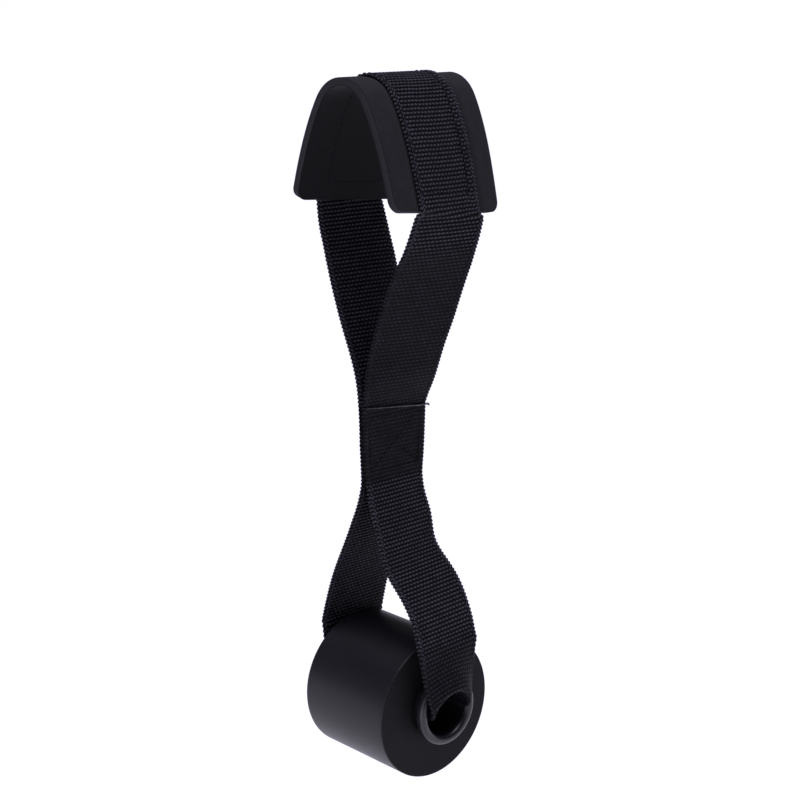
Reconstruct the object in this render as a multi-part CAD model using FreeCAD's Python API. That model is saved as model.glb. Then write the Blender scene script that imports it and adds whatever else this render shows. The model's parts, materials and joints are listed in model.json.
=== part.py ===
"""Hanging strap: a padded loop that hangs on a bar, a sewn waist, and a foam roller in the lower loop.

Millimetres, +Z up. The origin is the centre of the bar. X runs along the bar, and -Y is the front,
where the strap's cut end laps over the waist. The roller turns on an axis along Y.
"""
import FreeCAD, Part
import math
import os

from FreeCAD import Vector

# Driving dimensions -----------------------------------------------------------------------------
BAR_RADIUS = 14.0           # the pad's lining hugs a 28 mm bar
HUG_ANGLE = 60.0            # degrees each side of the top that the pad lies on the bar

PAD_WIDTH = 66.0
LINING = 0.4                # jersey against the bar
FOAM = 2.4                  # neoprene foam
FACING = 0.4                # jersey under the webbing
PAD_LEAN = 14.0             # degrees that the pad's legs splay from upright at their feet
LEG_REACH = 1 / 3           # handle length of each leg's curve, as a share of its chord
PAD_FOOT_FRONT = (-28.4, -41.0)
PAD_FOOT_BACK = (27.4, -35.4)

WEB_WIDTH = 38.0
WEB_THICK = 1.5
FOOT_BEND = 3.0             # inner radius of the webbing's bend below each pad foot
FOOT_TURN_FRONT = 40.0      # degrees that the webbing turns inward there
FOOT_TURN_BACK = 36.0

WAIST_Y = 2.6               # the sewn waist, three layers of webbing, hangs in this plane
WAIST_TOP = -126.5
WAIST_BOTTOM = -158.5
FLEX_GAP = 0.35             # clearance round the rounded waist ends, where the strap flexes
STRAND_GAP = 1.0            # half the distance between the upper strands' middles at the waist
STRAND_SEAT = 0.8           # height of the upper strands' lower ends above the rounded waist end
STRAND_SPLAY = {-1: -0.3, 1: 0.2}       # how far the upper strands lean out there, per mm up
MOUTH_SPLAY = 0.1           # the same for the lower strands at the roller, per mm down

CORE_Z = -259.9             # height of the core's axis, which the roller turns on
FOAM_Z = -261.5             # the soft foam sags on the core, so its outside lies a little lower
ROLLER_Y = 0.3              # middle of the foam's length
ROLLER_LENGTH = 51.4
ROLLER_RADIUS = 32.2
CORE_RADIUS = 13.0          # outside of the core's tube, and the foam's bore
BORE_RADIUS = 11.8
SPIGOT_RADIUS = 12.4
SPIGOT_LENGTH = 6.0
FLANGE_RADIUS = 16.2
FLANGE_THICK = 4.3          # from a flange's back to the crown of its rounded rim
FLANGE_EDGE = 2.4           # the rim is widest at this height above the flange's back
FLANGE_CHAMFER = 0.8
CROWN_RADIUS = 13.7
LIP_START = 1.2             # the bore's wall stays straight to this height above the flange's back
FLANGE_BACK = {-1: -30.2, 1: 26.0}      # y of each flange's back; the core is longer than the foam
BORE_GAP = 0.3              # webbing to bore wall

THREAD_WIDTH = 0.6
THREAD_HEIGHT = 0.3
GROOVE_CLEAR = 0.4          # how far the tool that cuts the lining's groove starts outside it
SEAM_LEFT = -17.6           # the pad seam's side rows
SEAM_RIGHT = 13.4
SEAM_END = 0.22             # fraction of each pad leg below the pad seam's end rows
SEAM_ROW = 0.016            # fraction of a pad leg that an end row's thread covers
BOX_WIDTH = 31.0            # box stitch on the waist
BOX_HEIGHT = 25.0

# Hand-chosen points (y, z) that the free strands pass, beside their two ends.
UPPER_FRONT = [(-22.9, -61.5), (-14.6, -81.5), (-6.6, -101.0), (-1.2, -115.5)]
UPPER_BACK = [(23.2, -65.5), (16.2, -85.5), (9.6, -104.5), (5.8, -116.5)]
LOWER_FRONT = [(-6.4, -183.5), (-18.0, -201.5), (-29.6, -219.5)]
LOWER_BACK = [(10.6, -183.5), (18.4, -201.5), (25.8, -219.5)]
MOUTH_TOP = -230.5          # the webbing starts to curl here, level with the roller's top
MOUTH_Y = {-1: -34.6, 1: 31.0}          # y of the flat strand at that height, front and back
MOUTH_SWING = {-1: 2.5, 1: 1.0}         # how far it swings out on its way down to the flange
MOUTH_BULGE = {-1: 16.0, 1: 13.0}       # how far its curl reaches past the flange's back, in its middle
MOUTH_EDGE = {-1: 6.0, 1: 2.0}          # and how much less at its edges
MOUTH_FALL = 0.55           # share of the drop to the bore that it falls before it turns in

# Derived sizes ----------------------------------------------------------------------------------
PAD_THICK = LINING + FOAM + FACING
WEB_MID = PAD_THICK + WEB_THICK / 2
WAIST_HALF = 1.5 * WEB_THICK
BORE_MID = BORE_RADIUS - BORE_GAP - WEB_THICK / 2
CURL = WEB_WIDTH / BORE_MID             # radians that the webbing wraps inside the bore

# Fineness of the lofted and offset shapes ---------------------------------------------------------
ACROSS = 8                  # flat facets across the curled webbing
STRAND_STEPS = 16           # sections along each lower strand
MOUTH_STEPS = 10            # sections from the flat strand to the bore
OFFSET_SAMPLES = 24         # points that an offset curve passes


def point(y, z, x=0.0):
    return Vector(x, y, z)


def outward(tangent):
    """Unit normal on the outside of a loop that goes up the front, over and down the back."""
    return Vector(0, -tangent.z, tangent.y).normalize()


# Curves in the YZ plane -------------------------------------------------------------------------
def leaning(side, degrees):
    """Upward direction on one side (-1 front, 1 back), its foot splayed out by degrees."""
    lean = math.radians(degrees)
    return Vector(0, -side * math.sin(lean), math.cos(lean))


def leg_curve(side, foot):
    """The pad's inner face from its foot up to where it meets the bar."""
    hug = math.radians(HUG_ANGLE)
    top = point(side * BAR_RADIUS * math.sin(hug), BAR_RADIUS * math.cos(hug))
    reach = top.distanceToPoint(foot) * LEG_REACH
    arrive = Vector(0, -side * math.cos(hug), math.sin(hug))
    curve = Part.BezierCurve()
    curve.setPoles([foot, foot + leaning(side, PAD_LEAN) * reach, top - arrive * reach, top])
    return curve


def spline_through(points, start, finish):
    curve = Part.BSplineCurve()
    curve.interpolate(Points=points, InitialTangent=start, FinalTangent=finish)
    return curve


def offset_edge(curve, distance, side, start=0.0, samples=OFFSET_SAMPLES):
    """A curve moved outward. It runs upward on the side -1 and is read the same way on side 1."""
    low, high = curve.FirstParameter, curve.LastParameter
    low += start * (high - low)
    points, tangents = [], []
    for step in range(samples + 1):
        at = low + (high - low) * step / samples
        tangent = curve.tangent(at)[0]
        points.append(curve.value(at) + outward(tangent) * (-side * distance))
        tangents.append(tangent)
    return spline_through(points, tangents[0], tangents[-1]).toShape()


def hug_edge(distance):
    """The arc over the bar, moved outward."""
    hug = math.radians(HUG_ANGLE)
    radius = BAR_RADIUS + distance
    ends = [point(side * radius * math.sin(hug), radius * math.cos(hug)) for side in (-1, 1)]
    return Part.Arc(ends[0], point(0, radius), ends[1]).toShape()


def band(inner, outer, width, centre=0.0):
    """A solid of constant width between two open chains of edges, closed by straight ends."""
    def chain_ends(chain):
        first = [vertex.Point for vertex in chain[0].Vertexes]
        last = [vertex.Point for vertex in chain[-1].Vertexes]
        return first[0], last[-1]
    (inner_a, inner_b), (outer_a, outer_b) = chain_ends(inner), chain_ends(outer)
    caps = [Part.makeLine(inner_a, outer_a), Part.makeLine(inner_b, outer_b)]
    wire = Part.Wire(Part.__sortEdges__(inner + outer + caps))
    face = Part.Face(wire)
    face.translate(Vector(centre - width / 2, 0, 0))
    return face.extrude(Vector(width, 0, 0))


LEGS = {-1: leg_curve(-1, point(*PAD_FOOT_FRONT)), 1: leg_curve(1, point(*PAD_FOOT_BACK))}


def saddle_chain(distance, start=0.0):
    """Edges from the front foot, over the bar, to the back foot, moved outward by distance."""
    return [offset_edge(LEGS[-1], distance, -1, start), hug_edge(distance),
            reversed_edge(offset_edge(LEGS[1], distance, 1, start))]


def reversed_edge(edge):
    curve = edge.Curve.copy()
    curve.reverse()
    return curve.toShape()


def saddle_band(low, high, width, centre=0.0, start=0.0):
    return band(saddle_chain(low, start), saddle_chain(high, start), width, centre)


# Padded loop ------------------------------------------------------------------------------------
def seam_ring(low, high):
    """One closed rectangle of thread on the saddle, between two distances from the bar face."""
    width = SEAM_RIGHT - SEAM_LEFT
    centre = (SEAM_RIGHT + SEAM_LEFT) / 2
    frame = saddle_band(low, high, width + THREAD_WIDTH, centre, SEAM_END)
    inside = saddle_band(low - GROOVE_CLEAR, high + GROOVE_CLEAR, width - THREAD_WIDTH, centre,
                         SEAM_END + SEAM_ROW)
    return frame.cut(inside)


def foot_bend(side, turn):
    """The webbing's middle line round the bend below a pad foot: its arc and its lower end."""
    leg = LEGS[side]
    tangent = leg.tangent(leg.FirstParameter)[0]
    normal = outward(tangent) * -side
    start = leg.value(leg.FirstParameter) + normal * WEB_MID
    radius = FOOT_BEND + WEB_THICK / 2
    centre = start - normal * radius

    def at(degrees):
        angle = math.radians(degrees)
        return centre + normal * (radius * math.cos(angle)) - tangent * (radius * math.sin(angle))
    arc = Part.Arc(at(turn), at(turn / 2), start)
    return arc, at(turn), leaning(side, PAD_LEAN - turn)


def upper_strand(side, through, turn, end, end_direction):
    """Middle line of a free strand from the waist up to the bend below the pad."""
    arc, low, rising = foot_bend(side, turn)
    points = [end] + [point(*pair) for pair in reversed(through)] + [low]
    return spline_through(points, end_direction, rising), arc


def upper_webbing():
    """One strip from the waist, up the front, over the pad and down the back to the waist."""
    half = WEB_THICK / 2
    seat = WAIST_TOP + WAIST_HALF + STRAND_SEAT
    strands = {
        side: upper_strand(side, through, turn, point(WAIST_Y + side * STRAND_GAP, seat),
                           Vector(0, STRAND_SPLAY[side], 1))
        for side, through, turn in ((-1, UPPER_FRONT, FOOT_TURN_FRONT),
                                    (1, UPPER_BACK, FOOT_TURN_BACK))
    }
    sides = []
    for distance in (-half, half):
        front, back = ([offset_edge(strands[side][0], distance, side),
                        offset_edge(strands[side][1], distance, side)] for side in (-1, 1))
        legs = saddle_chain(WEB_MID + distance)
        sides.append(front + legs + [reversed_edge(edge) for edge in reversed(back)])
    return band(sides[0], sides[1], WEB_WIDTH)


# Sewn waist -------------------------------------------------------------------------------------
def block(x_size, y_low, y_high, z_low, z_high):
    """A box centred in X. Its y is counted from the waist's plane."""
    corner = Vector(-x_size / 2, WAIST_Y + y_low, z_low)
    return Part.makeBox(x_size, y_high - y_low, z_high - z_low, corner)


def waist_ends():
    """Round ends of the waist about the two lines that the strap flexes on."""
    start = Vector(-WEB_WIDTH / 2, 0, 0)
    rounds = [Part.makeCylinder(WAIST_HALF, WEB_WIDTH, start + point(WAIST_Y, z), Vector(1, 0, 0))
              for z in (WAIST_TOP, WAIST_BOTTOM)]
    return rounds[0].fuse(rounds[1]).fuse(
        block(WEB_WIDTH, -WAIST_HALF, WAIST_HALF, WAIST_BOTTOM, WAIST_TOP))


def waist_layer(y_low, z_low, z_high):
    return waist_ends().common(block(WEB_WIDTH, y_low, y_low + WEB_THICK, z_low, z_high))


def waist_seam(y_low):
    """Box stitch with a cross, lying on one face of the waist."""
    y_high = y_low + THREAD_HEIGHT
    middle = (WAIST_TOP + WAIST_BOTTOM) / 2
    low, high = middle - BOX_HEIGHT / 2, middle + BOX_HEIGHT / 2
    frame = block(BOX_WIDTH, y_low, y_high, low, high).cut(
        block(BOX_WIDTH - 2 * THREAD_WIDTH, y_low, y_high, low + THREAD_WIDTH, high - THREAD_WIDTH))
    diagonal = math.hypot(BOX_WIDTH, BOX_HEIGHT) - 2 * THREAD_WIDTH
    slope = math.degrees(math.atan2(BOX_HEIGHT, BOX_WIDTH))
    for turn in (slope, -slope):
        bar = block(diagonal, y_low, y_high, middle - THREAD_WIDTH / 2, middle + THREAD_WIDTH / 2)
        bar.rotate(point(WAIST_Y, middle), Vector(0, 1, 0), turn)
        frame = frame.fuse(bar)
    return frame.removeSplitter()


# Lower loop -------------------------------------------------------------------------------------
def flat_section(place, normal):
    """Middle points and normals across the flat strap at one place on its route."""
    across = [WEB_WIDTH * (step / ACROSS - 0.5) for step in range(ACROSS + 1)]
    return [(place + Vector(x, 0, 0), normal) for x in across]


def lower_strand(side, through):
    """Flat sections from the waist down to the roller's top."""
    start = point(WAIST_Y + side * WEB_THICK, WAIST_BOTTOM - WAIST_HALF - FLEX_GAP)
    points = [start] + [point(*pair) for pair in through] + [point(MOUTH_Y[side], MOUTH_TOP)]
    straight_down = Vector(0, 0, -1)
    route = spline_through(points, straight_down, Vector(0, side * MOUTH_SPLAY, -1))
    sections = []
    for step in range(STRAND_STEPS):
        at = (route.FirstParameter
              + (route.LastParameter - route.FirstParameter) * step / STRAND_STEPS)
        normal = Vector(0, -route.tangent(at)[0].z, route.tangent(at)[0].y) * side
        sections.append(flat_section(route.value(at), normal))
    return sections


def bezier(poles, at):
    a, b, c, d = poles
    rest = 1 - at
    return (a * rest ** 3 + b * (3 * rest ** 2 * at) + c * (3 * rest * at ** 2) + d * at ** 3)


def bezier_slope(poles, at):
    a, b, c, d = poles
    rest = 1 - at
    return (b - a) * (3 * rest ** 2) + (c - b) * (6 * rest * at) + (d - c) * (3 * at ** 2)


def mouth_poles(side, across):
    """One warp line: straight down in front of the flange, then over the lip into the bore."""
    angle = across * CURL / 2
    start = point(MOUTH_Y[side], MOUTH_TOP, across * WEB_WIDTH / 2)
    end = point(FLANGE_BACK[side], CORE_Z + BORE_MID * math.cos(angle), BORE_MID * math.sin(angle))
    drop = MOUTH_FALL * (start.z - end.z)
    bulge = MOUTH_BULGE[side] - MOUTH_EDGE[side] * across ** 2
    return [start, start + point(side * MOUTH_SWING[side], -drop), end + point(side * bulge, 0), end]


def mouth_sections(side):
    """Sections that curl from the flat strand to the arch inside the bore."""
    sections = []
    for step in range(MOUTH_STEPS + 1):
        at = step / MOUTH_STEPS
        section = []
        for index in range(ACROSS + 1):
            across = 2 * index / ACROSS - 1
            poles = mouth_poles(side, across)
            nearby = 1e-4
            along = bezier_slope(poles, at)
            beside = (bezier(mouth_poles(side, across + nearby), at)
                      - bezier(mouth_poles(side, across - nearby), at))
            normal = beside.cross(along).normalize()
            section.append((bezier(poles, at), normal * side))
        sections.append(section)
    return sections


def section_wire(section):
    """Closed outline of the strap's thickness at one section."""
    half = WEB_THICK / 2
    ring = [place + normal * half for place, normal in section]
    ring += [place - normal * half for place, normal in reversed(section)]
    return Part.makePolygon(ring + ring[:1])


def lower_webbing():
    """One strip from the waist, down the front, through the core and up the back."""
    front = lower_strand(-1, LOWER_FRONT) + mouth_sections(-1)
    back = lower_strand(1, LOWER_BACK) + mouth_sections(1)
    sections = front + list(reversed(back))
    return Part.makeLoft([section_wire(section) for section in sections], True, True)


# Roller -----------------------------------------------------------------------------------------
def ring(outer, inner, y_low, y_high, outer_z=CORE_Z):
    """A tube bored on the core's axis. Its y is counted from the middle of the roller."""
    along = Vector(0, 1, 0)
    length = y_high - y_low
    bore = Part.makeCylinder(inner, length, point(ROLLER_Y + y_low, CORE_Z), along)
    return Part.makeCylinder(outer, length, point(ROLLER_Y + y_low, outer_z), along).cut(bore)


def flange(side):
    """Rounded rim at one end of the core, turned about its axis."""
    def at(radius, out):
        return point(FLANGE_BACK[side] + side * out, CORE_Z + radius)
    out = Vector(0, side, 0)
    dome = spline_through([at(BORE_RADIUS, LIP_START), at(CROWN_RADIUS, FLANGE_THICK),
                           at(FLANGE_RADIUS, FLANGE_EDGE)], out, out * -1)
    corners = [at(FLANGE_RADIUS, FLANGE_EDGE), at(FLANGE_RADIUS, FLANGE_CHAMFER),
               at(FLANGE_RADIUS - FLANGE_CHAMFER, 0), at(BORE_RADIUS, 0), at(BORE_RADIUS, LIP_START)]
    straights = [Part.makeLine(a, b) for a, b in zip(corners, corners[1:])]
    area = Part.Face(Part.Wire(Part.__sortEdges__([dome.toShape()] + straights)))
    return area.revolve(point(0, CORE_Z), Vector(0, 1, 0), 360)


def core_half_front():
    """Flange and tube, with a spigot that plugs into the other half."""
    tube = ring(CORE_RADIUS, BORE_RADIUS, FLANGE_BACK[-1] - ROLLER_Y, 0)
    spigot = ring(SPIGOT_RADIUS, BORE_RADIUS, 0, SPIGOT_LENGTH)
    return tube.fuse(spigot).fuse(flange(-1)).removeSplitter()


def core_half_back():
    """Flange and tube, with a socket for the other half's spigot."""
    tube = ring(CORE_RADIUS, BORE_RADIUS, SPIGOT_LENGTH, FLANGE_BACK[1] - ROLLER_Y)
    socket = ring(CORE_RADIUS, SPIGOT_RADIUS, 0, SPIGOT_LENGTH)
    return tube.fuse(socket).fuse(flange(1)).removeSplitter()


# Nodes ------------------------------------------------------------------------------------------
def build_nodes():
    bobbin_groove = seam_ring(-GROOVE_CLEAR, THREAD_HEIGHT)
    facing_top = PAD_THICK + WEB_THICK
    return {
        "webbing_upper_loop": upper_webbing(),
        "pad_foam": saddle_band(LINING, LINING + FOAM, PAD_WIDTH),
        "pad_facing_jersey": saddle_band(LINING + FOAM, PAD_THICK, PAD_WIDTH),
        "pad_lining_jersey": saddle_band(0, LINING, PAD_WIDTH).cut(bobbin_groove),
        "pad_seam_needle_thread": seam_ring(facing_top, facing_top + THREAD_HEIGHT),
        "pad_seam_bobbin_thread": seam_ring(0, THREAD_HEIGHT),
        "waist_lapped_end": waist_layer(-WAIST_HALF, WAIST_BOTTOM - WAIST_HALF, WAIST_TOP),
        "waist_hidden_end": waist_layer(-WEB_THICK / 2, WAIST_BOTTOM, WAIST_TOP + WAIST_HALF),
        "waist_back_layer": waist_layer(WEB_THICK / 2, WAIST_BOTTOM - WAIST_HALF,
                                        WAIST_TOP + WAIST_HALF),
        "waist_seam_needle_thread": waist_seam(-WAIST_HALF - THREAD_HEIGHT),
        "waist_seam_bobbin_thread": waist_seam(WAIST_HALF),
        "webbing_lower_loop": lower_webbing(),
        "roller_foam": ring(ROLLER_RADIUS, CORE_RADIUS, -ROLLER_LENGTH / 2, ROLLER_LENGTH / 2, FOAM_Z),
        "core_half_front": core_half_front(),
        "core_half_back": core_half_back(),
    }


def main():
    os.makedirs("parts", exist_ok=True)
    for name, shape in build_nodes().items():
        shape.exportStep("parts/" + name + ".step")
        box = shape.BoundBox
        print(name, shape.isValid(), len(shape.Solids), round(shape.Volume, 1),
              [round(v, 1) for v in (box.XMin, box.XMax, box.YMin, box.YMax, box.ZMin, box.ZMax)])


main()
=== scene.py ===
"""Looks of the hanging strap: ribbed webbing, neoprene pad, foam roller and its plastic core.

Shapes are worked out in millimetres and turned into metres when a mesh is made. X runs along the bar,
-Y is the front, where the cut end laps over the waist, and Z is up. Side -1 is the front and 1 the back.
"""
import json
import math

import bmesh
import bpy
import numpy as np
from mathutils import Matrix, Vector


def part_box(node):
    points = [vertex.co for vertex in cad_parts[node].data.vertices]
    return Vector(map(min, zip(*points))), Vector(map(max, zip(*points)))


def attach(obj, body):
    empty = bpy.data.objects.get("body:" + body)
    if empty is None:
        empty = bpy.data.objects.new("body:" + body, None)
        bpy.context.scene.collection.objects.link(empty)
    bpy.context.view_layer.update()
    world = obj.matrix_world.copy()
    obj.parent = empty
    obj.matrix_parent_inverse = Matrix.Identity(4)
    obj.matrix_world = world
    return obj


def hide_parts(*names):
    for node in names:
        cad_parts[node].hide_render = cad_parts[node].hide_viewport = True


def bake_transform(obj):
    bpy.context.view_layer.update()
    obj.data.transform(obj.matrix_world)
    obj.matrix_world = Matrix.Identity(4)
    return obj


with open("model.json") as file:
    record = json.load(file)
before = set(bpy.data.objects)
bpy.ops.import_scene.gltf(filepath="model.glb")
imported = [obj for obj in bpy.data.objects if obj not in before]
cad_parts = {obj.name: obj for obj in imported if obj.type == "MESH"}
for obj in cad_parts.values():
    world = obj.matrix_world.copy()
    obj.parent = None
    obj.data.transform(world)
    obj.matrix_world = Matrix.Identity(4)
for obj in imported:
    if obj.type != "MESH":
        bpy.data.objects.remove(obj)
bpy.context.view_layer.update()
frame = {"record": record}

MM = 0.001
FULL_TURN = 2 * math.pi
THREAD_HALF = 0.3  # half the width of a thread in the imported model


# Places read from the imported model
def box_mm(node):
    low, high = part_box(node)
    return np.array(low) / MM, np.array(high) / MM


def span(node, axis):
    """Middle and half size of a node along an axis."""
    low, high = box_mm(node)
    return (low[axis] + high[axis]) / 2, (high[axis] - low[axis]) / 2


def thread_span(node, axis):
    """Both ends of a seam along an axis, to the middle of its thread."""
    low, high = box_mm(node)
    return low[axis] + THREAD_HALF, high[axis] - THREAD_HALF


BAR_RADIUS = frame["record"]["mounts"][0]["dims"]["r_mm"]
PAD_THICK = box_mm("pad_facing_jersey")[1][2] - BAR_RADIUS
LINING = box_mm("pad_lining_jersey")[1][2] - BAR_RADIUS
PAD_HALF = span("pad_foam", 0)[1]
WEB_HALF = span("waist_hidden_end", 0)[1]
WAIST_Y, half_thick = span("waist_hidden_end", 1)
WEB_THICK = 2 * half_thick
WAIST_BOTTOM = box_mm("waist_hidden_end")[0][2]
ROLLER_Y, ROLLER_HALF = span("roller_foam", 1)
ROLLER_Z, ROLLER_RADIUS = span("roller_foam", 2)
CORE_Z, FLANGE_RADIUS = span("core_half_front", 2)
FLANGE_CROWN = {-1: box_mm("core_half_front")[0][1], 1: box_mm("core_half_back")[1][1]}
SEAM_SIDES = thread_span("pad_seam_needle_thread", 0)

# Pad
HUG_ANGLE = 60  # degrees each side of the top that lie on the bar
PAD_LEAN = 14  # degrees that the pad's feet splay outward
PAD_FOOT = {-1: (-28.4, -41), 1: (27.4, -35.4)}
FOOT_PAST = 8  # the saddle's line goes on this far past both feet
FOOT_RISE = {-1: (5.5, -0.8), 1: (0, -5)}  # of the left and right corners over each foot
PAD_YAW = (3.4, -3.6)  # degrees at the top, and the change to the back foot
PAD_X = (0.7, -0.4)  # the pad's middle, likewise
PAD_CORNER = 5
SADDLE_STEP = 0.25
MARGIN_SWELL = 0.35  # the pad stands up beside the webbing
UNDER_WEB = 0.1  # and is pressed down under it
UNDER_SEAM = 0.25  # and under each row of stitches
WEB_SHADOW = (-0.5, 3.5)  # from the webbing's edge, where its press begins and ends
SEAM_SPREAD = 1.2
PAD_UNEVEN = 0.12
FOAM_HOLLOW = -0.25  # the foam's edge lies inside the jerseys' edges
RIM_SHARES = (0.2, 0.8)  # where a layer's edge is fullest
SEAM_ABOVE_END = 8

# Core and roller
CORE_RADIUS = 13
BORE_RADIUS = 11.8
SPIGOT_RADIUS = 12.4  # where the core's two halves plug together
SPIGOT_END = 6
CHAMFER = 0.3
NECK_ROW = 6  # a row of the mesh this far behind each flange
FLANGE_THICK = 4.3
FLANGE_BACK = {side: crown - side * FLANGE_THICK for side, crown in FLANGE_CROWN.items()}
FLANGE_RIM = 0.8  # radius of the flange's back corner
FLANGE_SIDE = 0.55  # share of its thickness with a straight rim
CROWN_AT = 0.55  # share of the way from bore to rim where it is highest
BORE_LIP = 1.6  # where the bore's straight wall ends
ROLLER_EDGE = 0.4
ROLLER_UNEVEN = 0.12

# Webbing
RIB_PITCH = 1.77
ROWS_PER_RIB = 5
ROW_STEP = RIB_PITCH / ROWS_PER_RIB
RIB_HEIGHT = 0.56
RIB_SHARPNESS = 1.1
CORE_HALF = 0.32  # half thickness at the bottom of a groove
DOT_PITCH = 2.15  # two warp ends, side by side
DOT_RISE = 0.30  # share of a rib's height
DOTS_INSIDE = 0.6  # even height of the dots on the inner face
DOTS_END = (0.90, 0.96)  # shares of the half width where they run together
ROPE_X = 17.4  # middle of the twisted cord along each selvedge
ROPE_SLANT = 0.45  # ribs that its loops climb in a millimetre across
ROPE_FADE = (0.5, 1.1)  # from the cord's middle, where it fades into the ribs
ROPE_RISE = (0.35, 0.85)  # its least height in ribs, and what its loops add
EDGE_SQUARENESS = 44
SCALLOP = 0.45  # how far the ribs' ends stand out along the edge
SCALLOP_MIDDLE = 0.6
SCALLOP_FROM = 0.93  # share of the half width
OUTER_COLUMNS, INNER_COLUMNS = 64, 19
EVEN_COLUMNS_TO = 0.975
EDGE_COLUMNS = np.array([0.988, 0.996, 1.0])
WEB_ON_PAD = 0.7  # the webbing lies this far right of the pad's middle
SEAM_DRAG = 0.4  # ribs that the stitches drag the weave along
SEAM_DRAG_WIDTH = 0.9
SEAM_GROOVE = (0.75, 0.7)  # share of the height pressed down, and how wide
DRAG_TOP, GROOVE_TOP = (-40, -30), (-34, -31)  # heights where both begin
LAYER = 1.25  # distance between the pressed layers of the sewn waist
FRONT_LAYER, BACK_LAYER = WAIST_Y - LAYER, WAIST_Y + LAYER
CUT_ENDS = (-125, -129.1)  # height of the sealed cut at its left and right ends
CUT_FADE = 12  # length over which the rows turn to follow the cut

# Ribs pressed flat: how flat, and the heights where that begins and ends. The same share evens out and dims
# their colour: painted shade on the taut front strand and at the bent mouth.
SEWN_FLAT = (1, (WAIST_BOTTOM - 3, WAIST_BOTTOM + 2), (-127, -123))
TAUT_FLAT_AND_SHADE = (0.78, (-128, -123), (-62, -48))
TAUT_Y = 3.5  # only in front of this
BENT_FLAT_AND_SHADE = (0.7, (-238, -222))
FLAT_RIBS, FLAT_ROPE = 0.8, 0.6  # share of its height that each loses

# Share of the strap's width that the stitching draws in, by height.
NARROWING = [(-178, 0), (-168, 0.045), (-160.5, 0.085), (-152, 0.055), (-140, 0.035),
             (-127, 0.012), (-117, 0.004), (-110, 0.004), (-98, 0), (-86, -0.02),
             (-62, -0.02), (-55, 0)]

# Free strands: (y, z, yaw in degrees, x). A positive yaw brings the left edge forward.
UPPER_FRONT = [(2.6, -158, 0, 0), (2.6, -145, 0, 0), (2.6, -131, 0, 0.6), (1.7, -125, -2, 1),
               (-0.5, -119.5, -4.8, 0.6), (-2.9, -114, -7.5, -0.1), (-6.6, -102, -11.8, -0.4),
               (-11.2, -90, -12.4, -0.1), (-16, -78, -12, 0.1), (-20.9, -66, -11.3, 0.5),
               (-26.7, -54, -8, 0.9)]
UPPER_BACK = [(29, -48, -2.5, 0.6), (24.5, -60, -2.5, 0.2), (20.4, -72, -2.2, 0),
              (16, -84, -2, 0), (11.2, -96, -2, 0), (6.4, -108, -1.6, 0),
              (4.4, -117, -0.8, 0), (BACK_LAYER, -126, 0, 0), (BACK_LAYER, -142.5, 0, 0)]
LOWER_FRONT = [(FRONT_LAYER, -124, 0, 0), (FRONT_LAYER, -142, 0, 0), (FRONT_LAYER, -157, 1.5, 0),
               (-0.4, -168, 5.5, 0), (-5, -180, 7, 0), (-9.4, -192, 8, -0.4),
               (-14.2, -198, 4, -0.2), (-20.2, -204, 3.4, 0.2), (-25.3, -210, 4.6, 0.2),
               (-29.1, -216, 5.6, 0), (-31.6, -222, 5.2, 0), (-33.2, -228, 4.8, 0)]
LOWER_BACK = [(29.8, -228, 1, 0), (28, -221.5, 1.5, 0), (21.4, -204, 1, 0),
              (15.2, -192, 0, 0), (9.5, -180, 0, 0), (5.2, -168, 0, 0), (BACK_LAYER, -159, 0, 0),
              (BACK_LAYER, -142.5, 0, 0)]
FOOT_TURN = {-1: 40, 1: 36}  # degrees that the webbing turns under each foot
FOOT_BEND = 3  # inner radius of that turn
FOOT_YAW = {-1: -1, 1: -1.5}  # its yaw after the turn

# The strap's way into the core, from a flat row before the flange to an arch in the bore.
MOUTH_TOP = -230.5
MOUTH_Y = {-1: -34.2, 1: 30.5}
MOUTH_YAW = {-1: 4.8, 1: 1}
MOUTH_SWING = {-1: (3.5, -4.5), 1: (1, -1)}  # in the middle, and the change at the edges
MOUTH_BULGE = {-1: (16.2, -5.5), 1: (13, -2)}  # likewise
MOUTH_FALL = {-1: 0.92, 1: 0.6}  # share of the drop before it turns in
MOUTH_DROOP = {-1: 2.5, 1: 0}
MOUTH_GATHER = {-1: 0.26, 1: 0.12}  # share of the half width that the edges draw in
GATHER_LEFT = 0.25  # share of that left near the bore
BORE_MID = 10.75  # the webbing's middle line inside the bore
CURL = 2 * WEB_HALF / BORE_MID  # angle that the webbing fills there

# Stitches and the sealed cut
STITCH_LENGTH = 3.2
THREAD_RADIUS = 0.27
STITCH_FULLNESS = 0.45  # lower rises more steeply from the hole
HOLE_GAP = 0.04  # share of a stitch left free at each end
CUT_OVERHANG = 1.7  # past the webbing's right edge
BEAD_SUNK = 0.25
BEAD_RADIUS = 0.38
LOOSE_ENDS = 9
LOOSE_RADIUS = 0.28

# Colours, in linear light
# The webbing ramp runs from near black in the grooves to bright on the crests: painted shade and painted
# highlight over the yarn's dark tone.
WEB_COLOURS = [(0.0, (0.001, 0.001, 0.0015)), (0.38, (0.004, 0.0039, 0.0056)),
               (1.0, (0.06, 0.058, 0.078))]
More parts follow.
